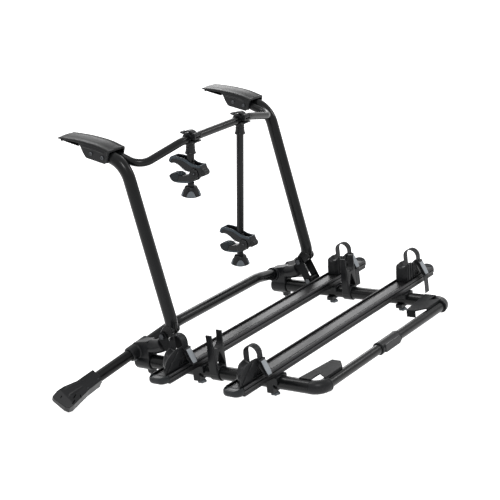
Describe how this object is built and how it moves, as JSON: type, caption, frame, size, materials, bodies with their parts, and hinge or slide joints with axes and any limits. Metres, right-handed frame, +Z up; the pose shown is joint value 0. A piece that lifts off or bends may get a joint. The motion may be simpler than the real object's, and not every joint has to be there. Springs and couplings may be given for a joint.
{
  "type": "trunk mounted bike rack",
  "caption": "Trunk mounted bike rack with a tube platform, wheel trays with strapped cradles, fold-down arms with trunk hooks, and clamping frame holders.",
  "frame": {"origin": "middle of the line where the two hooks grip the trunk's top edge", "axes": "+X towards the car's right side, +Y forward to the car, +Z up, square to the platform"},
  "size_m": [1.2715, 0.8422, 0.7443],
  "materials": {
    "powder_black": "satin",
    "moulded_black": "matte",
    "anodised_tray": "satin",
    "grey_knob": "matte",
    "silver_grey": "matte",
    "strap_rubber": "matte",
    "blue_grey_rubber": "matte",
    "zinc_bolt": "satin",
    "pad_rubber": "matte"
  },
  "bodies": {
    "base": {"hub_left": "moulded_black", "hub_right": "moulded_black", "hub_screws": "zinc_bolt", "strut_plates": "powder_black", "strut_bolts": "zinc_bolt", "side_tube_left": "powder_black", "side_tube_right": "powder_black", "corner_left": "moulded_black", "corner_right": "moulded_black", "rear_tube": "powder_black", "rear_sleeve": "moulded_black", "corner_braces": "powder_black", "storage_forks": "moulded_black", "foot_bar": "powder_black"},
    "upper_frame": {"arm_left": "powder_black", "arm_right": "powder_black", "crossbar": "powder_black", "hook_housing_left": "powder_black", "hook_housing_right": "powder_black", "hook_pads": "pad_rubber", "hook_bolts": "zinc_bolt"},
    "foot_left": {"foot_left": "moulded_black", "foot_pad_left": "pad_rubber"},
    "foot_right": {"foot_right": "moulded_black", "foot_pad_right": "pad_rubber"},
    "tray_1": {"tray_1": "anodised_tray", "tray_caps_1": "moulded_black", "tray_brackets_1": "moulded_black"},
    "tray_knob_1_left": {"tray_knob_1_left": "grey_knob"},
    "cradle_1_left": {"cradle_1_left": "moulded_black", "strap_1_left": "strap_rubber"},
    "buckle_1_left": {"buckle_1_left": "silver_grey"},
    "tray_knob_1_right": {"tray_knob_1_right": "grey_knob"},
    "cradle_1_right": {"cradle_1_right": "moulded_black", "strap_1_right": "strap_rubber"},
    "buckle_1_right": {"buckle_1_right": "silver_grey"},
    "tray_2": {"tray_2": "anodised_tray", "tray_caps_2": "moulded_black", "tray_brackets_2": "moulded_black"},
    "tray_knob_2_left": {"tray_knob_2_left": "grey_knob"},
    "cradle_2_left": {"cradle_2_left": "moulded_black", "strap_2_left": "strap_rubber"},
    "buckle_2_left": {"buckle_2_left": "silver_grey"},
    "tray_knob_2_right": {"tray_knob_2_right": "grey_knob"},
    "cradle_2_right": {"cradle_2_right": "moulded_black", "strap_2_right": "strap_rubber"},
    "buckle_2_right": {"buckle_2_right": "silver_grey"},
    "holder_left": {"holder_clamp_left": "moulded_black", "holder_stem_left": "powder_black"},
    "holder_lever_left": {"holder_lever_left": "moulded_black"},
    "claw_left": {"claw_left": "blue_grey_rubber"},
    "jaw_left": {"jaw_left": "blue_grey_rubber"},
    "claw_knob_left": {"claw_knob_left": "moulded_black"},
    "holder_right": {"holder_clamp_right": "moulded_black", "holder_stem_right": "powder_black"},
    "holder_lever_right": {"holder_lever_right": "moulded_black"},
    "claw_right": {"claw_right": "blue_grey_rubber"},
    "jaw_right": {"jaw_right": "blue_grey_rubber"},
    "claw_knob_right": {"claw_knob_right": "moulded_black"}
  },
  "joints": [
    {"name": "frame_fold", "type": "hinge", "parent": "base", "child": "upper_frame", "pos_m": [0, -0.29, -0.579], "axis": [1, 0, 0], "range_deg": [0, 92]},
    {"name": "foot_left_slide", "type": "slide", "parent": "base", "child": "foot_left", "axis": [-0.9575, 0.191, -0.2159], "range_m": [-0.075, 0.01]},
    {"name": "foot_right_slide", "type": "slide", "parent": "base", "child": "foot_right", "axis": [0.9575, 0.191, -0.2159], "range_m": [0, 0.075]},
    {"name": "tray_1_slide", "type": "slide", "parent": "base", "child": "tray_1", "axis": [0, 1, 0], "range_m": [-0.015, 0.015]},
    {"name": "tray_knob_1_left_turn", "type": "hinge", "parent": "tray_1", "child": "tray_knob_1_left", "pos_m": [-0.361, -0.399, -0.711], "axis": [0, 0, 1], "continuous": true},
    {"name": "cradle_1_left_slide", "type": "slide", "parent": "tray_1", "child": "cradle_1_left", "axis": [1, 0, 0], "range_m": [-0.008, 0.02]},
    {"name": "buckle_1_left_open", "type": "hinge", "parent": "cradle_1_left", "child": "buckle_1_left", "pos_m": [-0.428, -0.4147, -0.58381], "axis": [-1, 0, 0], "range_deg": [0, 80]},
    {"name": "tray_knob_1_right_turn", "type": "hinge", "parent": "tray_1", "child": "tray_knob_1_right", "pos_m": [0.361, -0.399, -0.711], "axis": [0, 0, 1], "continuous": true},
    {"name": "cradle_1_right_slide", "type": "slide", "parent": "tray_1", "child": "cradle_1_right", "axis": [1, 0, 0], "range_m": [0, 0.04]},
    {"name": "buckle_1_right_open", "type": "hinge", "parent": "cradle_1_right", "child": "buckle_1_right", "pos_m": [0.464, -0.4147, -0.58381], "axis": [-1, 0, 0], "range_deg": [0, 80]},
    {"name": "tray_2_slide", "type": "slide", "parent": "base", "child": "tray_2", "axis": [0, 1, 0], "range_m": [-0.04, 0.06]},
    {"name": "tray_knob_2_left_turn", "type": "hinge", "parent": "tray_2", "child": "tray_knob_2_left", "pos_m": [-0.361, -0.659, -0.711], "axis": [0, 0, 1], "continuous": true},
    {"name": "cradle_2_left_slide", "type": "slide", "parent": "tray_2", "child": "cradle_2_left", "axis": [1, 0, 0], "range_m": [-0.008, 0.02]},
    {"name": "buckle_2_left_open", "type": "hinge", "parent": "cradle_2_left", "child": "buckle_2_left", "pos_m": [-0.428, -0.6747, -0.58381], "axis": [-1, 0, 0], "range_deg": [0, 80]},
    {"name": "tray_knob_2_right_turn", "type": "hinge", "parent": "tray_2", "child": "tray_knob_2_right", "pos_m": [0.361, -0.659, -0.711], "axis": [0, 0, 1], "continuous": true},
    {"name": "cradle_2_right_slide", "type": "slide", "parent": "tray_2", "child": "cradle_2_right", "axis": [1, 0, 0], "range_m": [0, 0.04]},
    {"name": "buckle_2_right_open", "type": "hinge", "parent": "cradle_2_right", "child": "buckle_2_right", "pos_m": [0.464, -0.6747, -0.58381], "axis": [-1, 0, 0], "range_deg": [0, 80]},
    {"name": "holder_left_swing", "type": "hinge", "parent": "upper_frame", "child": "holder_left", "pos_m": [-0.126, -0.277, -0.049], "axis": [1, 0, 0], "range_deg": [-3, 60]},
    {"name": "holder_lever_left_open", "type": "hinge", "parent": "holder_left", "child": "holder_lever_left", "pos_m": [-0.126, -0.30175, -0.03801], "axis": [1, 0, 0], "range_deg": [0, 90]},
    {"name": "claw_left_swivel", "type": "hinge", "parent": "holder_left", "child": "claw_left", "pos_m": [-0.126, -0.26293, -0.15002], "axis": [0, -0.138, 0.9904], "range_deg": [-90, 90]},
    {"name": "jaw_left_close", "type": "hinge", "parent": "claw_left", "child": "jaw_left", "pos_m": [-0.126, -0.2867, -0.15334], "axis": [1, 0, 0], "range_deg": [0, 14]},
    {"name": "claw_knob_left_turn", "type": "hinge", "parent": "jaw_left", "child": "claw_knob_left", "pos_m": [-0.126, -0.25603, -0.19955], "axis": [0, -0.138, 0.9904], "range_deg": [0, 700]},
    {"name": "holder_right_swing", "type": "hinge", "parent": "upper_frame", "child": "holder_right", "pos_m": [0.126, -0.277, -0.049], "axis": [1, 0, 0], "range_deg": [-3, 60]},
    {"name": "holder_lever_right_open", "type": "hinge", "parent": "holder_right", "child": "holder_lever_right", "pos_m": [0.126, -0.30175, -0.03801], "axis": [1, 0, 0], "range_deg": [0, 90]},
    {"name": "claw_right_swivel", "type": "hinge", "parent": "holder_right", "child": "claw_right", "pos_m": [0.126, -0.22126, -0.44914], "axis": [0, -0.138, 0.9904], "range_deg": [-90, 90]},
    {"name": "jaw_right_close", "type": "hinge", "parent": "claw_right", "child": "jaw_right", "pos_m": [0.126, -0.24503, -0.45245], "axis": [1, 0, 0], "range_deg": [0, 14]},
    {"name": "claw_knob_right_turn", "type": "hinge", "parent": "jaw_right", "child": "claw_knob_right", "pos_m": [0.126, -0.21436, -0.49866], "axis": [0, -0.138, 0.9904], "range_deg": [0, 700]}
  ],
  "couplings": [
    {"joint": "claw_knob_left_turn", "follows": "jaw_left_close", "ratio": 50},
    {"joint": "claw_knob_right_turn", "follows": "jaw_right_close", "ratio": 50}
  ]
}
